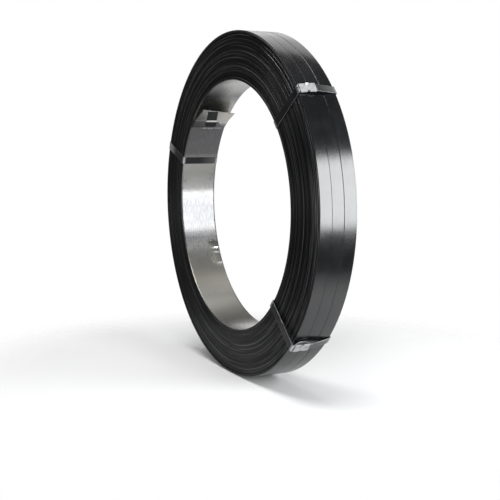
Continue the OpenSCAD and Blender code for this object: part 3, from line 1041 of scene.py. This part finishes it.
    @staticmethod
    def bridge(s):
        """The bridge over the strap's inner end, folded down at both sides."""
        below_knee, clear = 0.002, 0.0008
        half, splay, foot = 0.0107, 0.0003, 0.0002
        height = TAB_ROOT_LENGTH - below_knee
        middle = STRAP_END_PLACE - height * STRAP_END_SKEW
        high = clear + s.thickness / 2
        corners = [(-half - splay, foot), (-half, -high), (half, -high), (half + splay, foot)]
        path = dense(filleted(corners, radius=0.0009, closed=False), step=0.002, closed=False)

        def to_space(p, across):
            return TAB.to_space((height + across, p[1]), middle + p[0])

        return strip("slot_bridge", path, BRIDGE_LENGTH, s.thickness, to_space, False, cells=4)


class COIL_OT_ties(bpy.types.Operator):
    """Folds the tie straps round the coil, with their doubled ends in the seals"""

    bl_idname = "coil.ties"
    bl_label = "Ties"

    def execute(self, context):
        s = context.scene.coil_ties
        paint = tie_paint(s)
        for name, degrees, slack, worn in TIES:
            angle = math.radians(degrees)

            def to_space(p, across, angle=angle):
                return np.array([
                    p[0] * math.cos(angle) - across * math.sin(angle), p[1],
                    p[0] * math.sin(angle) + across * math.cos(angle)])

            loop = np.array(SLACK_LOOP if slack else TIGHT_LOOP)
            path = dense(filleted(loop, s.fold_radius, closed=True), step=0.004, closed=True)
            path = path - normals_of(path, True) * s.thickness / 2
            marks = {"scuff_and_sheen": [self.scuff_and_sheen(name, *p) for p in path]}
            band = strip(
                f"tie_band_{name}", path, s.width, s.thickness, to_space, True, marks=marks, worn=worn)
            end_path = self.slack_end(s, loop) if slack else self.tight_end(s, loop)
            other = strip(f"tie_end_{name}", end_path, s.width, s.thickness, to_space, False, worn=worn)
            for piece in (band, other):
                finish(piece, paint)
            settle(band, "tie_black", f"tie_{name}")
            settle(other, "tie_black")
        return {"FINISHED"}

    @staticmethod
    def scuff_and_sheen(name, radius, y):
        """How much grey a tie gets at a point of its loop, partly scuffing and partly painted sheen: on the
        rim it grows towards the far edge, and the left one also gets it outwards on the near end and towards
        the far side in the bore.
        """
        on_rim, on_bore, on_near_end = radius > 0.279, radius < 0.21, y < -0.03
        scuffed_and_sheen = np.interp(y, (-0.006, 0.004, 0.03), (0.0, 0.14, 0.4)) if on_rim else 0.0
        if name == "left":
            scuffed_and_sheen += np.interp(radius, (0.245, 0.272), (0.0, 1.0)) if on_near_end else 0.0
            scuffed_and_sheen += np.interp(y, (0.0, 0.03), (0.0, 0.25)) if on_bore else 0.0
        return scuffed_and_sheen

    @staticmethod
    def slack_end(s, loop):
        """The inner layer under the slack tie's seal, which sags towards the rim."""
        steps = 10
        a, b = loop[1], loop[2]
        middle = (a[1] + b[1]) / 2
        return np.array([
            (a[0] - s.thickness / 2 - SLACK_SAG * (1 - (k / steps) ** 2), middle + SLACK_REACH * k / steps)
            for k in range(-steps, steps + 1)])

    @staticmethod
    def tight_end(s, loop):
        """The second layer under a tight tie's seal, flat on the first."""
        a, b = loop[2], loop[3]
        out = np.array([b[1] - a[1], a[0] - b[0]]) / np.linalg.norm(b - a)
        return dense(np.array([a, b]) + out * s.thickness * 1.5, step=0.004, closed=False)


class COIL_OT_seals(bpy.types.Operator):
    """Finishes the crimped seals with rounded edges and bright zinc"""

    bl_idname = "coil.seals"
    bl_label = "Seals"

    def execute(self, context):
        s = context.scene.coil_seals
        zinc = seal_zinc(s)
        for name in ("seal_upper", "seal_left", "seal_lower"):
            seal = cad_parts[name]
            round_edges(seal, s.edge_round, degrees=40)
            seal.data.materials.clear()
            seal.data.materials.append(zinc)
        return {"FINISHED"}


class COIL_OT_stage(bpy.types.Operator):
    """Sets the plain floor, the soft studio light and the camera"""

    bl_idname = "coil.stage"
    bl_label = "Stage"

    def execute(self, context):
        s = context.scene.coil_stage
        self.floor(s)
        self.room(s)
        for lamp in LAMPS:
            self.lamp(*lamp)
        self.camera()
        context.scene.view_settings.view_transform = "Standard"
        return {"FINISHED"}

    @staticmethod
    def floor(s):
        """A round floor under the coil, which fades out towards its edge."""
        low = CAD_BOX[0][2]
        rings, spokes = 12, 96
        ways = [2 * math.pi * j / spokes for j in range(spokes)]
        verts = [(0.0, 0.0, low)]
        for k in range(1, rings + 1):
            r = s.floor_radius * k / rings
            verts += [(r * math.cos(way), r * math.sin(way), low) for way in ways]
        faces = [(0, 1 + j, 1 + (j + 1) % spokes) for j in range(spokes)]
        for k in range(rings - 1):
            a, b = 1 + k * spokes, 1 + (k + 1) * spokes
            faces += [(a + j, b + j, b + (j + 1) % spokes, a + (j + 1) % spokes) for j in range(spokes)]
        floor = add_piece("studio_floor", verts, faces, smooth=False)
        material, n, shader = new_finish("floor")
        shader.inputs["Base Color"].default_value = rgba(s.floor)
        shader.inputs["Roughness"].default_value = 0.9
        shader.inputs["Specular IOR Level"].default_value = 0.1
        level = n.add("ShaderNodeVectorMath", (0, n.space()), (1, (1, 1, 0)), operation="MULTIPLY").outputs[0]
        reach = n.add("ShaderNodeVectorMath", (0, level), operation="LENGTH").outputs["Value"]
        n.link(n.ramp(reach, s.floor_radius, 0.6 * s.floor_radius), shader, "Alpha")
        finish(floor, material)
        floor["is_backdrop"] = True

    @staticmethod
    def room(s):
        """White walls, two of them dimmer, and a dim ceiling."""
        world = bpy.data.worlds.new("studio")
        bpy.context.scene.world = world
        world.use_nodes = True
        n = Nodes(world.node_tree)
        way = n.add("ShaderNodeSeparateXYZ", (0, n.add("ShaderNodeTexCoord").outputs["Generated"])).outputs
        right_x, right_y = 0.89, 0.45
        to_right = n.plus(n.times(way[0], right_x), n.times(way[1], right_y))
        right = n.ramp(to_right, 0.45, 0.8, s.backdrop, s.right_wall)
        left = n.ramp(to_right, -0.75, -0.35, s.left_wall, 1.0)
        left = n.math("MAXIMUM", left, n.ramp(way[1], -0.38, 0.2))
        high = n.ramp(way[2], 0.28, 0.45)
        walls = n.times(n.times(right, left), n.math("SUBTRACT", 1.0, high))
        n.link(n.plus(walls, n.times(high, s.ceiling)), world.node_tree.nodes["Background"], "Color")

    @staticmethod
    def lamp(name, at, size, power, towards, colour):
        """A soft rectangular lamp that looks at a point."""
        light = bpy.data.lights.new(name, "AREA")
        light.shape = "RECTANGLE"
        light.size, light.size_y = size
        light.energy = power
        light.color = colour
        lamp = bpy.data.objects.new(name, light)
        away = (Vector(at) - Vector(towards)).normalized()
        lamp.rotation_euler = away.to_track_quat("Z", "Y").to_euler()
        lamp.location = at
        bpy.context.scene.collection.objects.link(lamp)

    @staticmethod
    def camera():
        """The camera at the photo's viewing angle."""
        azimuth, elevation = math.radians(CAMERA_AZIMUTH), math.radians(CAMERA_ELEVATION)
        level = math.cos(elevation)
        back = Vector((math.sin(azimuth) * level, -math.cos(azimuth) * level, math.sin(elevation)))
        right = Vector((math.cos(azimuth), math.sin(azimuth), 0))
        up = back.cross(right)
        eye = back * EYE_BACK * CAMERA_RIM + right * EYE_RIGHT * CAMERA_RIM - up * EYE_DOWN * CAMERA_RIM
        lens = bpy.data.cameras.new("camera")
        lens.sensor_width = SENSOR_WIDTH
        lens.lens = FOCAL_PIXELS / PHOTO_PIXELS * SENSOR_WIDTH
        camera = bpy.data.objects.new("camera", lens)
        rows = [(right[k], up[k], back[k], eye[k]) for k in range(3)]
        camera.matrix_world = Matrix((*rows, (0, 0, 0, 1)))
        bpy.context.scene.collection.objects.link(camera)
        bpy.context.scene.camera = camera


class COIL_PT_panel(bpy.types.Panel):
    """Lists the coil's pieces"""

    bl_idname = "COIL_PT_panel"
    bl_label = "Strapping coil"
    bl_space_type = "VIEW_3D"
    bl_region_type = "UI"
    bl_category = "Strapping coil"

    def draw(self, context):
        for operator in OPERATORS:
            self.layout.operator(operator.bl_idname)


SETTINGS = (
    ("coil_strap", StrapSettings), ("coil_hoop", HoopSettings), ("coil_ties", TieSettings),
    ("coil_seals", SealSettings), ("coil_stage", StageSettings))
OPERATORS = (COIL_OT_wound_strap, COIL_OT_core_hoop, COIL_OT_ties, COIL_OT_seals, COIL_OT_stage)


def register():
    for name, group in SETTINGS:
        bpy.utils.register_class(group)
        setattr(bpy.types.Scene, name, bpy.props.PointerProperty(type=group))
    for operator in OPERATORS:
        bpy.utils.register_class(operator)
    bpy.utils.register_class(COIL_PT_panel)


def unregister():
    bpy.utils.unregister_class(COIL_PT_panel)
    for operator in reversed(OPERATORS):
        bpy.utils.unregister_class(operator)
    for name, group in reversed(SETTINGS):
        delattr(bpy.types.Scene, name)
        bpy.utils.unregister_class(group)


def main():
    register()
    bpy.ops.coil.wound_strap()
    bpy.ops.coil.core_hoop()
    bpy.ops.coil.ties()
    bpy.ops.coil.seals()
    bpy.ops.coil.stage()
    boxes = {"cad": CAD_BOX, "visual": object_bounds()}
    {key: [[float(v) for v in corner] for corner in box] for key, box in boxes.items()}


if __name__ == "__main__":
    main()
